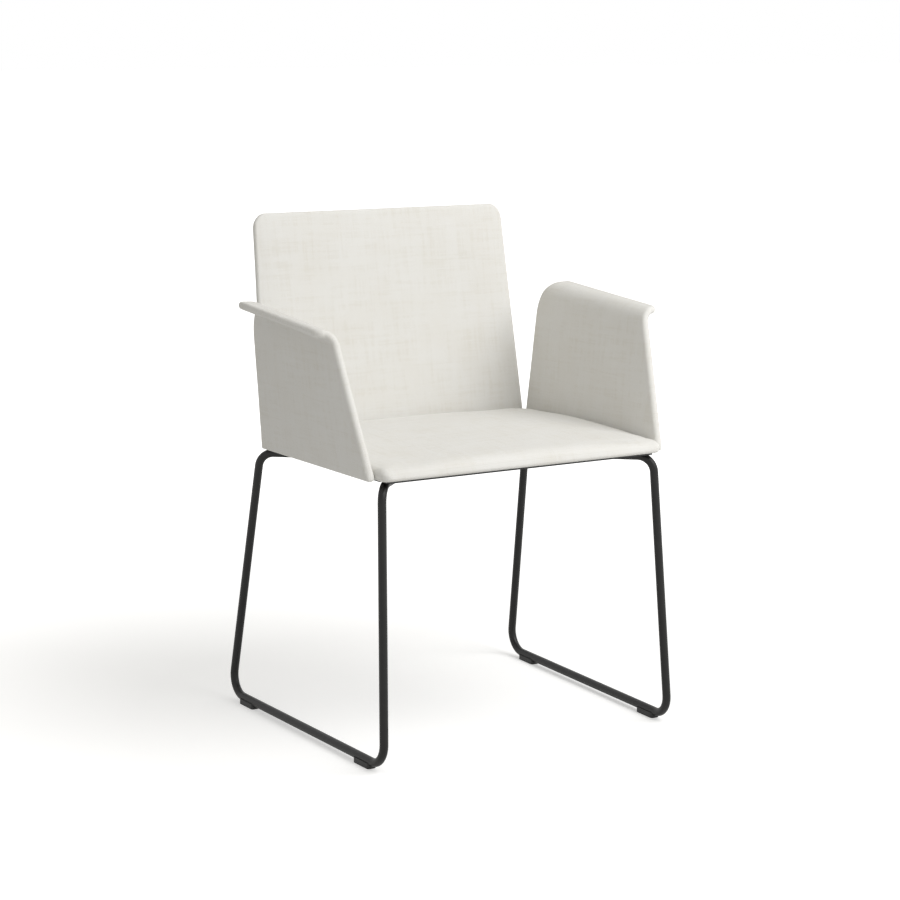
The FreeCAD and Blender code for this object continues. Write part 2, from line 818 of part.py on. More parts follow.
def under_seat_cover(screws):
    """A moulded tray: its flange laps the turned cloth and its middle reaches up to the board."""
    flange = seat_plan(under_cover_inset, -under_cover_drop, 0.0)
    middle = seat_plan(turned_edge + turned_edge_clearance, -under_cover_drop / 2.0, board_bottom)
    window = plate_blank(-under_cover_drop, board_bottom, under_cover_window_clearance)
    tray = flange.fuse(middle).removeSplitter().cut(window).cut(rod_envelope())
    return cut_all(tray, screws)


def back_core_blank():
    """A stiff board inside the back, before it is bored."""
    front_face = fabric_thickness + back_front_foam
    return back_sheet(front_face, front_face + back_core_thickness, back_core_inset)


def one_shape(shape):
    """The solids of a shape: the solid itself where there is only one."""
    solids = shape.Solids
    return solids[0] if len(solids) == 1 else group(solids)


def export(name, shape):
    one_shape(shape).exportStep("parts/" + name + ".step")


def build_frame():
    for side, word in ((-1, "left"), (1, "right")):
        export(word + "_sled_loop", sled_loop(side))
        for end, place in zip(("front", "rear"), glide_places(side)):
            export(end + "_" + word + "_glide", glide(place))
    export("seat_mounting_plate", in_room(mounting_plate()))
    export("plate_screws", in_room(group(plate_screws())))
    export("plate_washers", in_room(group(plate_washers())))
    export("tee_nuts", in_room(group(tee_nuts())))


def build_bars():
    """Exports the bars and their screws, and returns what the padded parts make room for."""
    front_hoop = arm_hoop(front_hoop_y)
    rear_hoop = arm_hoop(rear_hoop_y)
    left_bar = back_bar(-1)
    right_bar = back_bar(1)
    board_screws = hoop_screws() + back_bar_screws()
    arm_screws = right_arm_screws()
    both_arm_screws = arm_screws + [mirrored(screw) for screw in arm_screws]
    screws_of_back = back_screws()
    every_hoop_screw = hoop_screws() + both_arm_screws
    every_bar_screw = back_bar_screws() + screws_of_back
    export("front_arm_hoop", in_room(cut_all(front_hoop, every_hoop_screw)))
    export("rear_arm_hoop", in_room(cut_all(rear_hoop, every_hoop_screw)))
    export("left_back_bar", in_room(cut_all(left_bar, every_bar_screw)))
    export("right_back_bar", in_room(cut_all(right_bar, every_bar_screw)))
    export("board_screws", in_room(group(board_screws)))
    export("arm_screws", in_room(group(both_arm_screws)))
    export("back_screws", in_room(group(screws_of_back)))
    return [front_hoop, rear_hoop], [left_bar, right_bar], board_screws, arm_screws, screws_of_back


def build_seat(hoops, back_bars, board_screws):
    bars = hoops + back_bars
    screws_of_cover = cover_screws()
    nut_blanks = [tee_nut_blank(x, y) for x, y in plate_screw_places()]
    export("seat_board", in_room(seat_board(bars, board_screws + screws_of_cover, nut_blanks)))
    export("seat_foam", in_room(seat_foam(bars)))
    export("seat_upholstery", in_room(cut_all(seat_upholstery(bars), screws_of_cover)))
    export("under_seat_cover", in_room(under_seat_cover(screws_of_cover)))
    export("cover_screws", in_room(group(screws_of_cover)))


def build_back(back_bars, screws_of_back):
    to_shell = back_place()
    to_back = to_shell.inverse()
    bars = [moved(bar, to_back) for bar in back_bars]
    screws = [moved(screw, to_back) for screw in screws_of_back]
    padded = back_slab(fabric_thickness)
    pieces = {"core": cut_all(back_core_blank(), bars + screws),
              "foam": cut_all(padded, [back_core_blank()] + bars),
              "upholstery": cut_all(back_slab(0.0), [padded] + bars)}
    for word, shape in pieces.items():
        export("back_" + word, in_room(moved(shape, to_shell)))


def build_arms(hoops, arm_screws):
    core_inset = (arm_thickness - arm_core_thickness) / 2.0
    core_blank = arm_solid(core_inset)
    padded = arm_solid(arm_fabric_thickness)
    pieces = {"core": cut_all(core_blank, hoops + arm_screws),
              "foam": cut_all(padded, [core_blank] + hoops),
              "upholstery": cut_all(arm_solid(0.0), [padded] + hoops)}
    for word, shape in pieces.items():
        export("right_arm_" + word, in_room(shape))
        export("left_arm_" + word, in_room(mirrored(shape)))


os.makedirs("parts", exist_ok=True)
build_frame()
hoops, back_bars, board_screws, arm_screws, screws_of_back = build_bars()
build_seat(hoops, back_bars, board_screws)
build_back(back_bars, screws_of_back)
build_arms(hoops, arm_screws)
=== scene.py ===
import math

import bpy
import numpy as np
from mathutils import Matrix, Vector


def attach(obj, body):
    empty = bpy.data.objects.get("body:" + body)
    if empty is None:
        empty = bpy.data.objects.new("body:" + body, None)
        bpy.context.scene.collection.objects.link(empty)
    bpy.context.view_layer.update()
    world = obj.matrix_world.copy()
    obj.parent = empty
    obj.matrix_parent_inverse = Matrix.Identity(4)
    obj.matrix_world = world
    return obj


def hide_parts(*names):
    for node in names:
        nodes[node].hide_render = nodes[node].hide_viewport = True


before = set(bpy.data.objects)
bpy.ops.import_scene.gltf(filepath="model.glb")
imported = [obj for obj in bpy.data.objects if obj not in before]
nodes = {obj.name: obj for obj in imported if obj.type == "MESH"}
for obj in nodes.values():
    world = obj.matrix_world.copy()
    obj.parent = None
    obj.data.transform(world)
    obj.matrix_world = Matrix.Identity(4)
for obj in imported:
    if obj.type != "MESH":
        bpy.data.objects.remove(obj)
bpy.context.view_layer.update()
scene = bpy.context.scene

# The upholstered pieces follow the solids of the CAD shell. Their sizes are in millimetres, in
# the shell's own frame: z = 0 is its flat underside and y runs backwards along it.
UNDERSIDE_HEIGHT = 424.0
SHELL_LEAN = 1.1

SEAT_HALF_WIDTH = 236.6
SEAT_FRONT_WIDENING = 10.2
SEAT_FRONT_Y = -228.5
SEAT_REAR_Y = 158.8
SEAT_FRONT_CORNER = 15.0
SEAT_REAR_CORNER = 46.0
SEAT_NOSE_ROUNDING = 18.0
SEAT_SIDE_ROUNDING = 9.0
SEAT_FOOT_ROUNDING = 6.0
SEAT_NOSE_HEIGHT = 8.5
SEAT_SIDE_EDGE_HEIGHT = 13.0
SEAT_CROWN = 5.0
SEAT_HEIGHTS = ((-228.5, 17.8), (-190.0, 20.0), (-150.0, 22.6), (-110.0, 25.0), (-60.0, 27.8),
                (-10.0, 29.9), (25.0, 30.5), (90.0, 29.6), (158.8, 28.0))

BACK_FRONT_Y = 159.2
BACK_LEAN = 8.0
BACK_HEIGHT = 369.4
BACK_HALF_BOTTOM = 243.2
BACK_HALF_TOP = 228.2
BACK_THICKNESS = 12.6
BACK_TOP_CORNER = 22.0
BACK_FOOT_CORNER = 8.0
BACK_ROUNDING = 4.8
BACK_CROWN = 1.0

ARM_THICKNESS = 12.5
ARM_ROUNDING = 5.5
ARM_FOOT_ROUNDING = 2.4
ARM_TO_SEAT_GAP = 0.8
ARM_LEAN_FRONT = 6.6
ARM_LEAN_REAR = 4.9
ARM_FOLD_RADIUS = 26.0
LIP_RISE = 3.5
LIP_REACH = 303.0
LIP_HEIGHT_FRONT = 209.5
LIP_HEIGHT_REAR = 242.4
ARM_FRONT_FOOT_Y = -209.4
ARM_FRONT_TOP_Y = -136.7
ARM_REAR_FOOT_Y = 160.3
ARM_REAR_TOP_Y = 143.3
ARM_FRONT_FOOT_RADIUS = 11.0
ARM_FRONT_TOP_RADIUS = 24.0
ARM_REAR_TOP_RADIUS = 58.0
ARM_TOP_ROOM = 3.0
LIP_REAR_CORNER = 46.0
LIP_FRONT_CORNER = 16.0

MM = 0.001
TO_ROOM = Matrix.Translation((0, 0, UNDERSIDE_HEIGHT)) @ Matrix.Rotation(math.radians(-SHELL_LEAN), 4, "X")
FLOOR_HALF_WIDTH = 60.0
FLOOR_GLOW_NEAR = 0.40
SOFT_LIGHT_COLOUR = (1.0, 0.985, 0.94)
EDGE_STEPS = (0.0, 0.04, 0.15, 0.38, 0.68, 1.0)
GRID_STEP = 7.0
STAPLED_EDGE = 0.012


# Shapes
def quarter(distance, radius):
    """Share of full thickness at a distance in from a rounded edge."""
    share = np.clip(distance / radius, 0.0, 1.0)
    return np.sqrt(1.0 - (1.0 - share) ** 2)


def spaced(low, high, rounding):
    """Places from low to high: close together over the rounding at each end."""
    edge = [step * rounding for step in EDGE_STEPS]
    count = max(int(round((high - low - 2.0 * rounding) / GRID_STEP)), 2)
    inner = np.linspace(low + rounding, high - rounding, count + 1)[1:-1]
    return np.array([low + d for d in edge] + list(inner) + [high - d for d in reversed(edge)])


def row_places(low, high, rounding, shares):
    """Places across one row, from its own edges, with the same count in every row."""
    edge = np.array(EDGE_STEPS) * rounding
    inner = low + rounding + shares * (high - low - 2.0 * rounding)
    return np.concatenate([low + edge, inner, high - edge[::-1]])


def edge_distance(points, outline):
    """For each (a, b) point, its distance to a closed outline and the direction from the outline."""
    flat = points.reshape(-1, 2)
    start = outline
    along = np.roll(outline, -1, axis=0) - start
    length = np.maximum((along ** 2).sum(1), 1e-9)
    best = np.full(len(flat), 1e9)
    towards = np.zeros((len(flat), 2))
    for begin, run, size in zip(start, along, length):
        share = np.clip(((flat - begin) @ run) / size, 0.0, 1.0)
        gap = flat - (begin + share[:, None] * run)
        distance = np.sqrt((gap ** 2).sum(1))
        nearer = distance < best
        best[nearer] = distance[nearer]
        towards[nearer] = gap[nearer]
    towards /= np.maximum(best, 1e-6)[:, None]
    return best.reshape(points.shape[:2]), towards.reshape(points.shape)


def closed_outline(grid):
    """The border of a grid of (a, b) points, as one loop."""
    return np.concatenate([grid[0, :-1], grid[:-1, -1], grid[-1, :0:-1], grid[:0:-1, 0]])


def two_sided_mesh(name, upper, lower, weave):
    """A closed mesh of two sheets that share their border. weave gives each point its place in the cloth."""
    rows, columns = upper.shape[:2]
    upper_index = np.arange(rows * columns).reshape(rows, columns)
    lower_index = upper_index.copy()
    inner = (rows - 2) * (columns - 2)
    lower_index[1:-1, 1:-1] = rows * columns + np.arange(inner).reshape(rows - 2, columns - 2)
    points = np.concatenate([upper.reshape(-1, 3), lower[1:-1, 1:-1].reshape(-1, 3)])
    cloth = np.concatenate([weave.reshape(-1, 3), weave[1:-1, 1:-1].reshape(-1, 3)])
    faces = []
    for i in range(rows - 1):
        for j in range(columns - 1):
            faces.append([upper_index[i, j], upper_index[i, j + 1], upper_index[i + 1, j + 1], upper_index[i + 1, j]])
            faces.append([lower_index[i, j], lower_index[i + 1, j], lower_index[i + 1, j + 1], lower_index[i, j + 1]])
    mesh = bpy.data.meshes.new(name)
    mesh.from_pydata([TO_ROOM @ Vector(p) * MM for p in points.tolist()], [], np.array(faces).tolist())
    mesh.validate()
    place = mesh.attributes.new("cloth_place", "FLOAT_VECTOR", "POINT")
    place.data.foreach_set("vector", (cloth * MM).astype(np.float32).ravel())
    mesh.polygons.foreach_set("use_smooth", [True] * len(mesh.polygons))
    mesh.update()
    piece = bpy.data.objects.new(name, mesh)
    scene.collection.objects.link(piece)
    return piece


def rounded_half(half, low_corner, high_corner, low, high, place):
    """Half width of a rounded outline at one place between its two ends."""
    if place - low < low_corner:
        return half - low_corner * (1.0 - float(quarter(place - low, low_corner)))
    if high - place < high_corner:
        return half - high_corner * (1.0 - float(quarter(high - place, high_corner)))
    return half


def seat_half_at(y):
    """Half width of the seat: it is wider at the front."""
    return SEAT_HALF_WIDTH + SEAT_FRONT_WIDENING * (SEAT_REAR_Y - y) / (SEAT_REAR_Y - SEAT_FRONT_Y)


def seat_pad():
    """Crowned pad with a rolled front edge, drawn in a little at its foot."""
    rows = spaced(SEAT_FRONT_Y, SEAT_REAR_Y, SEAT_NOSE_ROUNDING)
    shares = np.linspace(0.0, 1.0, 56)[1:-1]
    grid = []
    for y in rows:
        half = rounded_half(seat_half_at(y), SEAT_FRONT_CORNER, SEAT_REAR_CORNER, SEAT_FRONT_Y, SEAT_REAR_Y, y)
        grid.append([(x, y) for x in row_places(-half, half, SEAT_SIDE_ROUNDING, shares)])
    grid = np.array(grid)
    depth, normal = edge_distance(grid, closed_outline(grid))
    x, y = grid[..., 0], grid[..., 1]
    rounding = np.hypot(SEAT_SIDE_ROUNDING * normal[..., 0], SEAT_NOSE_ROUNDING * normal[..., 1])
    rounding = np.maximum(rounding, SEAT_SIDE_ROUNDING)
    knots, heights = zip(*SEAT_HEIGHTS)
    side = np.interp(y, knots, heights)
    top = side + SEAT_CROWN * (1.0 - (x / seat_half_at(y)) ** 2)
    from_front = np.clip((y - SEAT_FRONT_Y) / 60.0, 0.0, 1.0)
    edge = SEAT_NOSE_HEIGHT + (SEAT_SIDE_EDGE_HEIGHT - SEAT_NOSE_HEIGHT) * from_front
    upper = np.dstack([x, y, edge + (top - edge) * quarter(depth, rounding)])
    lower = np.dstack([x, y, edge * (1.0 - quarter(depth, SEAT_FOOT_ROUNDING))])
    return two_sided_mesh("seat_cushion", upper, lower, np.dstack([x, y, np.zeros_like(x)]))


def back_cushion():
    """The leaning back: soft edges, with a slight crown on both faces."""
    rows = spaced(0.0, BACK_HEIGHT, BACK_ROUNDING)
    shares = np.linspace(0.0, 1.0, 56)[1:-1]
    grid = []
    for up in rows:
        half = BACK_HALF_BOTTOM + (BACK_HALF_TOP - BACK_HALF_BOTTOM) * up / BACK_HEIGHT
        half = rounded_half(half, BACK_FOOT_CORNER, BACK_TOP_CORNER, 0.0, BACK_HEIGHT, up)
        grid.append([(x, up) for x in row_places(-half, half, BACK_ROUNDING, shares)])
    grid = np.array(grid)
    depth = edge_distance(grid, closed_outline(grid))[0]
    x, up = grid[..., 0], grid[..., 1]
    half_thickness = (BACK_THICKNESS / 2.0 - BACK_CROWN) * quarter(depth, BACK_ROUNDING)
    half_thickness += BACK_CROWN * np.clip((depth - BACK_ROUNDING) / 60.0, 0.0, 1.0) ** 0.5
    lean = math.radians(BACK_LEAN)
    rise = np.array([0.0, math.sin(lean), math.cos(lean)])
    through = np.array([0.0, math.cos(lean), -math.sin(lean)])
    middle = np.array([0.0, BACK_FRONT_Y, 0.0]) + through * BACK_THICKNESS / 2.0
    sheet = middle + x[..., None] * np.array([1.0, 0.0, 0.0]) + up[..., None] * rise
    front = sheet - half_thickness[..., None] * through
    rear = sheet + half_thickness[..., None] * through
    return two_sided_mesh("back_cushion", front, rear, np.dstack([x, up, np.zeros_like(x)]))


def arm_share_at(y):
    """0 at the arm's front foot and 1 at its rear foot."""
    return (y - ARM_FRONT_FOOT_Y) / (ARM_REAR_FOOT_Y - ARM_FRONT_FOOT_Y)


def lip_height_at(y):
    return LIP_HEIGHT_FRONT + (LIP_HEIGHT_REAR - LIP_HEIGHT_FRONT) * arm_share_at(y)


def arm_middle(row, y):
    """Point on the middle surface of the right arm. row is (part, share): wall, fold or lip, and how far along it."""
    part, share = row
    lean = math.radians(ARM_LEAN_FRONT + (ARM_LEAN_REAR - ARM_LEAN_FRONT) * arm_share_at(y))
    rise = math.radians(90.0 - LIP_RISE)
    wall = np.array([math.sin(lean), math.cos(lean)])
    wall_out = np.array([math.cos(lean), -math.sin(lean)])
    lip = np.array([math.sin(rise), math.cos(rise)])
    lip_out = np.array([math.cos(rise), -math.sin(rise)])
    inner_foot = np.array([seat_half_at(y) + ARM_TO_SEAT_GAP, 0.0])
    radius = ARM_FOLD_RADIUS - ARM_THICKNESS / 2.0
    base_centre = inner_foot + wall_out * ARM_FOLD_RADIUS
    lip_start = base_centre - lip_out * ARM_FOLD_RADIUS
    tip_x = LIP_REACH - ARM_THICKNESS / 2.0
    top_at_tip = lip_start[1] + (tip_x - lip_start[0]) * lip[1] / lip[0]
    centre = base_centre + wall * ((lip_height_at(y) - top_at_tip) / (wall[1] - wall[0] * lip[1] / lip[0]))
    wall_top = centre - wall_out * radius
    lip_base = centre - lip_out * radius
    if part == 0:
        foot = wall_top - wall * (wall_top[1] / wall[1])
        return foot + (wall_top - foot) * share
    if part == 1:
        turn = math.radians(90.0 - LIP_RISE) - lean
        angle = turn * share
        return centre - radius * (math.cos(angle) * wall_out - math.sin(angle) * wall)
    return lip_base + lip * ((LIP_REACH - lip_base[0]) / lip[0]) * share


def arm_ends(row):
    """Where the right arm starts and ends along y at one row, from its outlines seen from the side and above."""
    front = ARM_FRONT_FOOT_Y
    rear = ARM_REAR_FOOT_Y
    for _ in range(8):
        x, z = arm_middle(row, front)
        front = max(side_front(z), plan_end(x, ARM_FRONT_TOP_Y, LIP_FRONT_CORNER, -1.0))
        x, z = arm_middle(row, rear)
        rear = min(side_rear(z), plan_end(x, ARM_REAR_FOOT_Y, LIP_REAR_CORNER, 1.0))
    return front, rear


def corner_cut(to_first, to_second, angle, radius):
    """How far a rounded corner pulls an edge back, from the distance left to the corner along that edge."""
    reach = radius / math.tan(angle / 2.0)
    left = min(max(1.0 - to_first / reach, 0.0), 1.0)
    return to_second * (1.0 - math.sqrt(1.0 - left ** 2))


def side_front(z):
    """The arm's slanted front edge seen from the side, with its two rounded ends."""
    height = lip_height_at(ARM_FRONT_TOP_Y)
    slope = (ARM_FRONT_TOP_Y - ARM_FRONT_FOOT_Y) / height
    edge = ARM_FRONT_FOOT_Y + slope * z
    foot = corner_cut(z, ARM_FRONT_FOOT_RADIUS, math.radians(114.0), ARM_FRONT_FOOT_RADIUS)
    top = corner_cut(height + ARM_TOP_ROOM - z, ARM_FRONT_TOP_RADIUS, math.radians(118.0), ARM_FRONT_TOP_RADIUS)
    return edge + foot * 0.55 + top * 0.6


def side_rear(z):
    """The arm's rear edge seen from the side, with its large rounded top."""
    height = lip_height_at(ARM_REAR_TOP_Y)
    slope = (ARM_REAR_TOP_Y - ARM_REAR_FOOT_Y) / height
    edge = ARM_REAR_FOOT_Y + slope * z
    left = height + ARM_TOP_ROOM - z
    return edge - ARM_REAR_TOP_RADIUS * (1.0 - float(quarter(left, ARM_REAR_TOP_RADIUS)))


def plan_end(x, end, radius, turn):
    """One end of the lip seen from above: square to x until its corner starts to round."""
    into = x - (LIP_REACH - radius)
    if into <= 0.0:
        return turn * math.inf
    return end - turn * radius * (1.0 - math.sqrt(max(1.0 - (into / radius) ** 2, 0.0)))


def arm_rows():
    """Rows from the foot up the wall, round the fold and out along the lip."""
    wall = [0.0, 0.003, 0.01, 0.03] + list(np.linspace(0.0, 1.0, 25)[2:])
    fold = np.linspace(0.0, 1.0, 8)[1:]
    lip = [0.2, 0.4, 0.58, 0.72, 0.83, 0.91, 0.965, 0.99, 1.0]
    return [(0, share) for share in wall] + [(1, share) for share in fold] + [(2, share) for share in lip]


def arm_cushion(side, name):
    """A thin padded wing: leaning wall, fold and outward lip, with round edges."""
    rows = arm_rows()
    shares = np.linspace(0.0, 1.0, 46)[1:-1]
    middle, flat = [], []
    for row in rows:
        front, rear = arm_ends(row)
        places = row_places(front, rear, ARM_ROUNDING, shares)
        points = [(*arm_middle(row, y), y) for y in places]
        middle.append([(x, y, z) for x, z, y in points])
    middle = np.array(middle)
    run = np.zeros(middle.shape[:2])
    run[1:] = np.cumsum(np.linalg.norm(np.diff(middle[..., [0, 2]], axis=0), axis=2), axis=0)
    flat = np.dstack([middle[..., 1], run])
    depth, normal = edge_distance(flat, closed_outline(flat))
    low_edge = np.clip(normal[..., 1], 0.0, 1.0) * (run < 40.0)
    rounding = ARM_ROUNDING + (ARM_FOOT_ROUNDING - ARM_ROUNDING) * low_edge
    half_thickness = ARM_THICKNESS / 2.0 * quarter(depth, rounding)
    up = np.gradient(middle, axis=0)
    across = np.gradient(middle, axis=1)
    outward = np.cross(across, up)
    outward /= np.linalg.norm(outward, axis=2)[..., None]
    outer = middle + half_thickness[..., None] * outward
    inner = middle - half_thickness[..., None] * outward
    if side < 0:
        outer[..., 0] *= -1.0
        inner[..., 0] *= -1.0
        outer, inner = inner, outer
    weave = np.dstack([flat[..., 0], flat[..., 1], np.zeros_like(run)])
    return two_sided_mesh(name, outer, inner, weave)


# Cloth
def settle_cover(piece, pressure, most):
    """Lets the cover, stapled along its lowest edge, swell over its foam by at most so many metres."""
    mesh = piece.data
    rest = np.zeros(len(mesh.vertices) * 3)
    mesh.vertices.foreach_get("co", rest)
    rest = rest.reshape(-1, 3)
    stapled = piece.vertex_groups.new(name="stapled")
    lowest = rest[:, 2].min()
    edge = [index for index, height in enumerate(rest[:, 2]) if height < lowest + STAPLED_EDGE]
    stapled.add(edge, 1.0, "REPLACE")
    cloth = piece.modifiers.new("cover", "CLOTH")
    settings = cloth.settings
    settings.quality = 6
    settings.mass = 0.25
    settings.tension_stiffness = 25.0
    settings.compression_stiffness = 25.0
    settings.shear_stiffness = 8.0
    settings.bending_stiffness = 4.0
    settings.use_pressure = True
    settings.uniform_pressure_force = pressure
    settings.effector_weights.gravity = 0.0
    settings.vertex_group_mass = "stapled"
    scene.frame_start = 1
    scene.frame_end = 20
    for step in range(1, 21):
        scene.frame_set(step)
    shaped = piece.evaluated_get(bpy.context.evaluated_depsgraph_get())
    moved = np.zeros(len(mesh.vertices) * 3)
    shaped.data.vertices.foreach_get("co", moved)
    shift = moved.reshape(-1, 3) - rest
    size = np.linalg.norm(shift, axis=1)[:, None]
    shift *= np.minimum(most / np.maximum(size, 1e-9), 1.0)
    piece.modifiers.remove(cloth)
    piece.vertex_groups.remove(stapled)
    mesh.vertices.foreach_set("co", (rest + shift).ravel())
    mesh.update()
    scene.frame_set(1)


def smooth_out(piece, levels):
    """Catmull-Clark subdivision over the finished form."""
    rounding = piece.modifiers.new("rounding", "SUBSURF")
    rounding.levels = levels
    rounding.render_levels = levels


# Materials
class Nodes:
    """Builds a material's node tree with short calls."""

    def __init__(self, name):
        self.material = bpy.data.materials.new(name)
        self.material.use_nodes = True
        self.tree = self.material.node_tree
        self.shader = self.tree.nodes["Principled BSDF"]

    def add(self, kind, **values):
        node = self.tree.nodes.new(kind)
        for key, value in values.items():
            setattr(node, key, value)
        return node

    def put(self, socket, value):
        if isinstance(value, bpy.types.NodeSocket):
            self.tree.links.new(value, socket)
        else:
            socket.default_value = value

    def math(self, operation, first, second=0.0):
        node = self.add("ShaderNodeMath", operation=operation)
        self.put(node.inputs[0], first)
        self.put(node.inputs[1], second)
        return node.outputs[0]

    def noise(self, vector, scale, detail=3.0, roughness=0.55):
        node = self.add("ShaderNodeTexNoise")
        self.put(node.inputs["Vector"], vector)
        self.put(node.inputs["Scale"], scale)
        self.put(node.inputs["Detail"], detail)
        self.put(node.inputs["Roughness"], roughness)
        return node.outputs["Fac"]

    def stretched(self, vector, scale):
        node = self.add("ShaderNodeVectorMath", operation="MULTIPLY")
        self.put(node.inputs[0], vector)
        self.put(node.inputs[1], scale)
        return node.outputs[0]

    def ramp(self, value, low, high, low_colour, high_colour):
        node = self.add("ShaderNodeValToRGB")
        node.color_ramp.elements[0].position = low
        node.color_ramp.elements[1].position = high
        node.color_ramp.elements[0].color = (*low_colour, 1.0)
        node.color_ramp.elements[1].color = (*high_colour, 1.0)
        self.put(node.inputs[0], value)
        return node.outputs[0]

    def mixed(self, share, first, second, blend_type="MIX"):
        node = self.add("ShaderNodeMix", data_type="RGBA", blend_type=blend_type)
        self.put(node.inputs[0], share)
        self.put(node.inputs[6], first)
        self.put(node.inputs[7], second)
        return node.outputs[2]

    def bump(self, height, strength, distance):
        node = self.add("ShaderNodeBump")
        self.put(node.inputs["Height"], height)
        self.put(node.inputs["Strength"], strength)
        self.put(node.inputs["Distance"], distance)
        self.put(self.shader.inputs["Normal"], node.outputs[0])

    def object_place(self):
        return self.add("ShaderNodeTexCoord").outputs["Object"]


YARN_PITCH = 0.0011
CLOTH_COLOUR = (0.772, 0.765, 0.738)
CLOTH_WARM = (0.742, 0.726, 0.682)
CLOTH_LIGHT = (0.808, 0.804, 0.784)


def woven_fabric():
    """Off-white plain weave of slubby yarn, with a soft sheen."""
    made = Nodes("woven_fabric")
    place = made.add("ShaderNodeAttribute", attribute_name="cloth_place").outputs["Vector"]
    parts = made.add("ShaderNodeSeparateXYZ")
    made.put(parts.inputs[0], place)
    warp = made.math("MULTIPLY", parts.outputs[0], 1.0 / YARN_PITCH)
    weft = made.math("MULTIPLY", parts.outputs[1], 1.0 / YARN_PITCH)
    crossing = made.math("MODULO", made.math("ADD", made.math("FLOOR", warp), made.math("FLOOR", weft)), 2.0)
    crossing = made.math("ABSOLUTE", crossing)
    warp_yarn = made.math("ABSOLUTE", made.math("SINE", made.math("MULTIPLY", warp, math.pi)))
    weft_yarn = made.math("ABSOLUTE", made.math("SINE", made.math("MULTIPLY", weft, math.pi)))
    over = made.math("MULTIPLY", warp_yarn, crossing)
    under = made.math("MULTIPLY", weft_yarn, made.math("SUBTRACT", 1.0, crossing))
    weave = made.math("ADD", over, under)
    slub_across = made.noise(made.stretched(place, (18.0, 420.0, 1.0)), 1.0, 2.0)
    slub_along = made.noise(made.stretched(place, (420.0, 18.0, 1.0)), 1.0, 2.0)
    slubs = made.math("ADD", slub_across, slub_along)
    broad_across = made.noise(made.stretched(place, (9.0, 110.0, 1.0)), 1.0, 2.0)
    broad_along = made.noise(made.stretched(place, (110.0, 9.0, 1.0)), 1.0, 2.0)
    broad = made.math("ADD", broad_across, broad_along)
    streaks = made.math("ADD", made.math("MULTIPLY", slubs, 0.45), made.math("MULTIPLY", broad, 0.55))
    patches = made.noise(made.object_place(), 17.0, 3.0)
    base = made.ramp(patches, 0.38, 0.66, CLOTH_COLOUR, CLOTH_WARM)
    lit = made.ramp(streaks, 0.82, 1.18, CLOTH_WARM, CLOTH_LIGHT)
    colour = made.mixed(0.5, base, lit)
    shade = made.ramp(weave, 0.0, 0.7, (0.86, 0.85, 0.83), (1.0, 1.0, 1.0))
    made.put(made.shader.inputs["Base Color"], made.mixed(1.0, colour, shade, "MULTIPLY"))
    made.shader.inputs["Roughness"].default_value = 0.88
    made.shader.inputs["Specular IOR Level"].default_value = 0.25
    made.shader.inputs["Sheen Weight"].default_value = 0.18
    made.shader.inputs["Sheen Roughness"].default_value = 0.5
    relief = made.math("ADD", made.math("MULTIPLY", weave, 0.6), made.math("MULTIPLY", streaks, 0.8))
    made.bump(relief, 0.35, 0.0005)
    return made.material


def satin_paint():
    """Black powder coat with a fine orange peel."""
    made = Nodes("satin_paint")
    place = made.object_place()
    tone = made.noise(place, 40.0, 2.0)
    made.put(made.shader.inputs["Base Color"], made.ramp(tone, 0.3, 0.7, (0.0040, 0.0038, 0.0036), (0.0075, 0.0072, 0.0070)))
    rough = made.add("ShaderNodeMapRange")
    made.put(rough.inputs["Value"], made.noise(place, 160.0, 3.0))
    rough.inputs["To Min"].default_value = 0.36
    rough.inputs["To Max"].default_value = 0.50
    made.put(made.shader.inputs["Roughness"], rough.outputs[0])
    made.shader.inputs["Specular IOR Level"].default_value = 0.32
    made.bump(made.noise(place, 1400.0, 2.0), 0.12, 0.0002)
    return made.material


def moulded_plastic():
    """Black moulded plastic with a fine spark-eroded grain."""
    made = Nodes("moulded_plastic")
    place = made.object_place()
    tone = made.noise(place, 60.0, 2.0)
    made.put(made.shader.inputs["Base Color"], made.ramp(tone, 0.3, 0.7, (0.012, 0.012, 0.012), (0.022, 0.022, 0.022)))
    made.shader.inputs["Roughness"].default_value = 0.62
    made.bump(made.noise(place, 1800.0, 4.0, 0.7), 0.3, 0.0002)
    return made.material


def zinc_steel():
    """Zinc-plated steel with fine rolling marks."""
    made = Nodes("zinc_steel")
    place = made.object_place()
    grain = made.noise(made.stretched(place, (120.0, 900.0, 120.0)), 1.0, 3.0)
    made.put(made.shader.inputs["Base Color"], made.ramp(grain, 0.3, 0.7, (0.48, 0.48, 0.50), (0.66, 0.66, 0.68)))
    made.shader.inputs["Metallic"].default_value = 1.0
    made.shader.inputs["Roughness"].default_value = 0.38
    made.bump(grain, 0.1, 0.0001)
    return made.material


def plywood():
    """Sanded beech ply with long fine grain."""
    made = Nodes("plywood")
    place = made.object_place()
    grain = made.noise(made.stretched(place, (8.0, 260.0, 260.0)), 1.0, 5.0, 0.65)
    made.put(made.shader.inputs["Base Color"], made.ramp(grain, 0.3, 0.7, (0.46, 0.30, 0.17), (0.68, 0.50, 0.31)))
    made.shader.inputs["Roughness"].default_value = 0.6
    made.bump(grain, 0.2, 0.0003)
    return made.material


def dress(material, *names):
    """Gives CAD nodes a material and smooth shading between their sharp edges."""
    for name in names:
        mesh = nodes[name].data
        mesh.materials.clear()
        mesh.materials.append(material)
        mesh.polygons.foreach_set("use_smooth", [True] * len(mesh.polygons))
        mesh.set_sharp_from_angle(angle=math.radians(35.0))


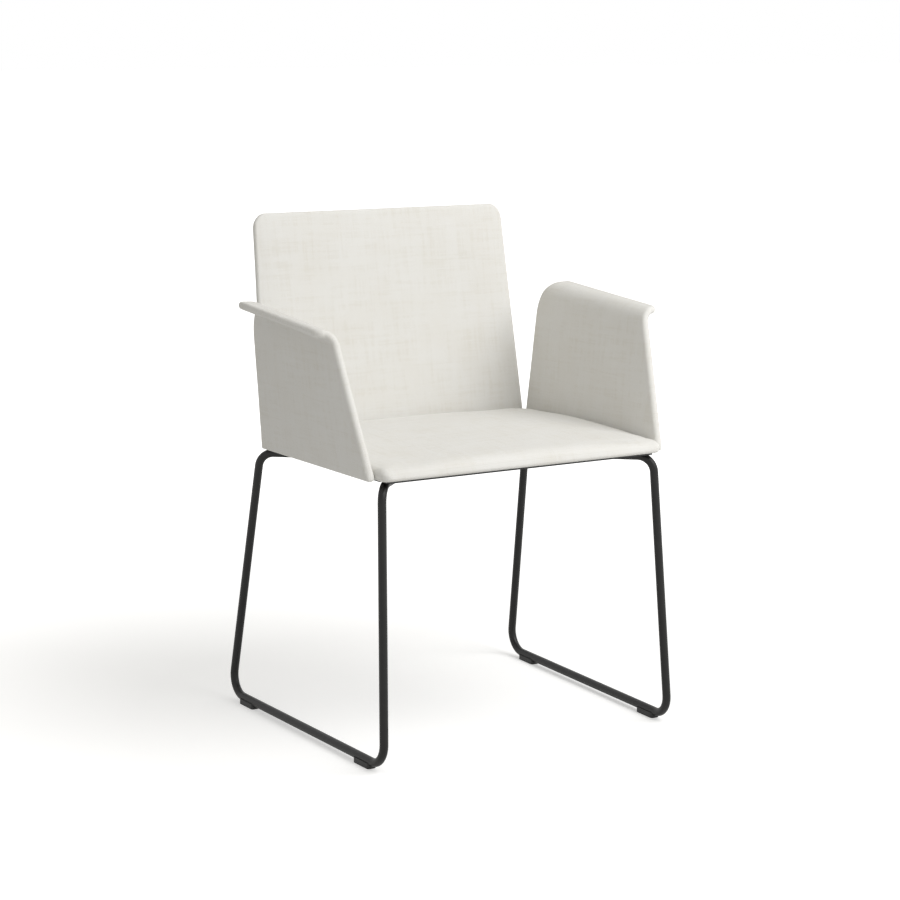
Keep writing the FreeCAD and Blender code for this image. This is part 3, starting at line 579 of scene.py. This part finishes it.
# Camera at the photograph's place
def make_camera():
    camera_data = bpy.data.cameras.new("camera")
    camera = bpy.data.objects.new("camera", camera_data)
    scene.collection.objects.link(camera)
    azimuth = math.radians(-30.77)
    elevation = math.radians(10.09)
    back = Vector((math.sin(azimuth) * math.cos(elevation), -math.cos(azimuth) * math.cos(elevation),
                   math.sin(elevation)))
    camera.location = (-1.84743, -3.10264, 1.06313)
    camera.rotation_mode = "QUATERNION"
    camera.rotation_quaternion = (-back).to_track_quat("-Z", "Y")
    camera_data.sensor_width = 36.0
    camera_data.lens = 93.806
    camera_data.clip_start = 0.05
    camera_data.clip_end = 200.0
    scene.camera = camera


# Studio
def area_light(name, place, target, width, height, power):
    data = bpy.data.lights.new(name, "AREA")
    data.shape = "RECTANGLE"
    data.size = width
    data.size_y = height
    data.energy = power
    light = bpy.data.objects.new(name, data)
    light.location = place
    light.rotation_mode = "QUATERNION"
    light.rotation_quaternion = (Vector(target) - Vector(place)).to_track_quat("-Z", "Y")
    scene.collection.objects.link(light)


def backdrop_rays(tree):
    """1 for the rays that look at the backdrop: straight from the camera, by gloss or through glass."""
    paths = tree.nodes.new("ShaderNodeLightPath")
    seen = paths.outputs["Is Camera Ray"]
    for kind in ("Is Glossy Ray", "Is Transmission Ray"):
        either = tree.nodes.new("ShaderNodeMath")
        either.operation = "MAXIMUM"
        tree.links.new(seen, either.inputs[0])
        tree.links.new(paths.outputs[kind], either.inputs[1])
        seen = either.outputs[0]
    return seen


def make_world(strength):
    """White to look at, and a plain soft light to everything else."""
    world = bpy.data.worlds.new("studio")
    world.use_nodes = True
    tree = world.node_tree
    tree.nodes.clear()
    mixer = tree.nodes.new("ShaderNodeMixShader")
    tree.links.new(backdrop_rays(tree), mixer.inputs[0])
    for slot, level, colour in ((1, strength, SOFT_LIGHT_COLOUR), (2, 1.0, (1.0, 1.0, 1.0))):
        sky = tree.nodes.new("ShaderNodeBackground")
        sky.inputs["Color"].default_value = (*colour, 1.0)
        sky.inputs["Strength"].default_value = level
        tree.links.new(sky.outputs[0], mixer.inputs[slot])
    output = tree.nodes.new("ShaderNodeOutputWorld")
    tree.links.new(mixer.outputs[0], output.inputs["Surface"])
    scene.world = world


def make_floor():
    """A floor that is white to look at, less so near the chair, so that its shadow shows there."""
    mesh = bpy.data.meshes.new("floor")
    half = FLOOR_HALF_WIDTH
    mesh.from_pydata([(-half, -half, 0), (half, -half, 0), (half, half, 0), (-half, half, 0)], [], [(0, 1, 2, 3)])
    floor = bpy.data.objects.new("floor", mesh)
    scene.collection.objects.link(floor)
    made = Nodes("pale_floor")
    made.shader.inputs["Base Color"].default_value = (0.80, 0.80, 0.80, 1.0)
    made.shader.inputs["Roughness"].default_value = 0.8
    made.shader.inputs["Specular IOR Level"].default_value = 0.0
    made.shader.inputs["Emission Color"].default_value = (1.0, 1.0, 1.0, 1.0)
    distance = made.add("ShaderNodeVectorMath", operation="LENGTH")
    made.put(distance.inputs[0], made.object_place())
    glow = made.add("ShaderNodeMapRange")
    made.put(glow.inputs["Value"], distance.outputs["Value"])
    glow.inputs["From Min"].default_value = 0.5
    glow.inputs["From Max"].default_value = 2.5
    glow.inputs["To Min"].default_value = FLOOR_GLOW_NEAR
    glow.inputs["To Max"].default_value = 1.0
    strength = made.math("MULTIPLY", glow.outputs[0], backdrop_rays(made.tree))
    made.put(made.shader.inputs["Emission Strength"], strength)
    mesh.materials.append(made.material)


make_camera()
make_world(0.50)
make_floor()
area_light("key", (1.3, -2.05, 2.7), (0.0, 0.0, 0.5), 2.6, 2.6, 86.0)

fabric = woven_fabric()
cushions = (
    (seat_pad(), ("seat_foam", "seat_upholstery"), 0.9, 0.0015),
    (back_cushion(), ("back_foam", "back_upholstery"), 0.9, 0.0012),
    (arm_cushion(-1, "left_arm_cushion"), ("left_arm_foam", "left_arm_upholstery"), 0.95, 0.0006),
    (arm_cushion(1, "right_arm_cushion"), ("right_arm_foam", "right_arm_upholstery"), 0.95, 0.0006),
)
for piece, replaced, fill, most in cushions:
    piece.data.materials.append(fabric)
    settle_cover(piece, 3.0, most)
    smooth_out(piece, 2)
    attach(piece, "root")
    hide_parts(*replaced)

dress(satin_paint(), "left_sled_loop", "right_sled_loop", "seat_mounting_plate")
# The under-seat cover is a real black part, but it peeks out below the seat's front rim as a thin dark line: painted
# shade standing for the shadow under the seat's front edge.
dress(moulded_plastic(), "front_left_glide", "front_right_glide", "rear_left_glide", "rear_right_glide",
      "under_seat_cover")
dress(plywood(), "seat_board", "left_arm_core", "right_arm_core", "back_core")
dress(zinc_steel(), "front_arm_hoop", "rear_arm_hoop", "left_back_bar", "right_back_bar", "plate_screws",
      "plate_washers", "tee_nuts", "board_screws", "arm_screws", "back_screws", "cover_screws")

scene.view_settings.view_transform = "Standard"
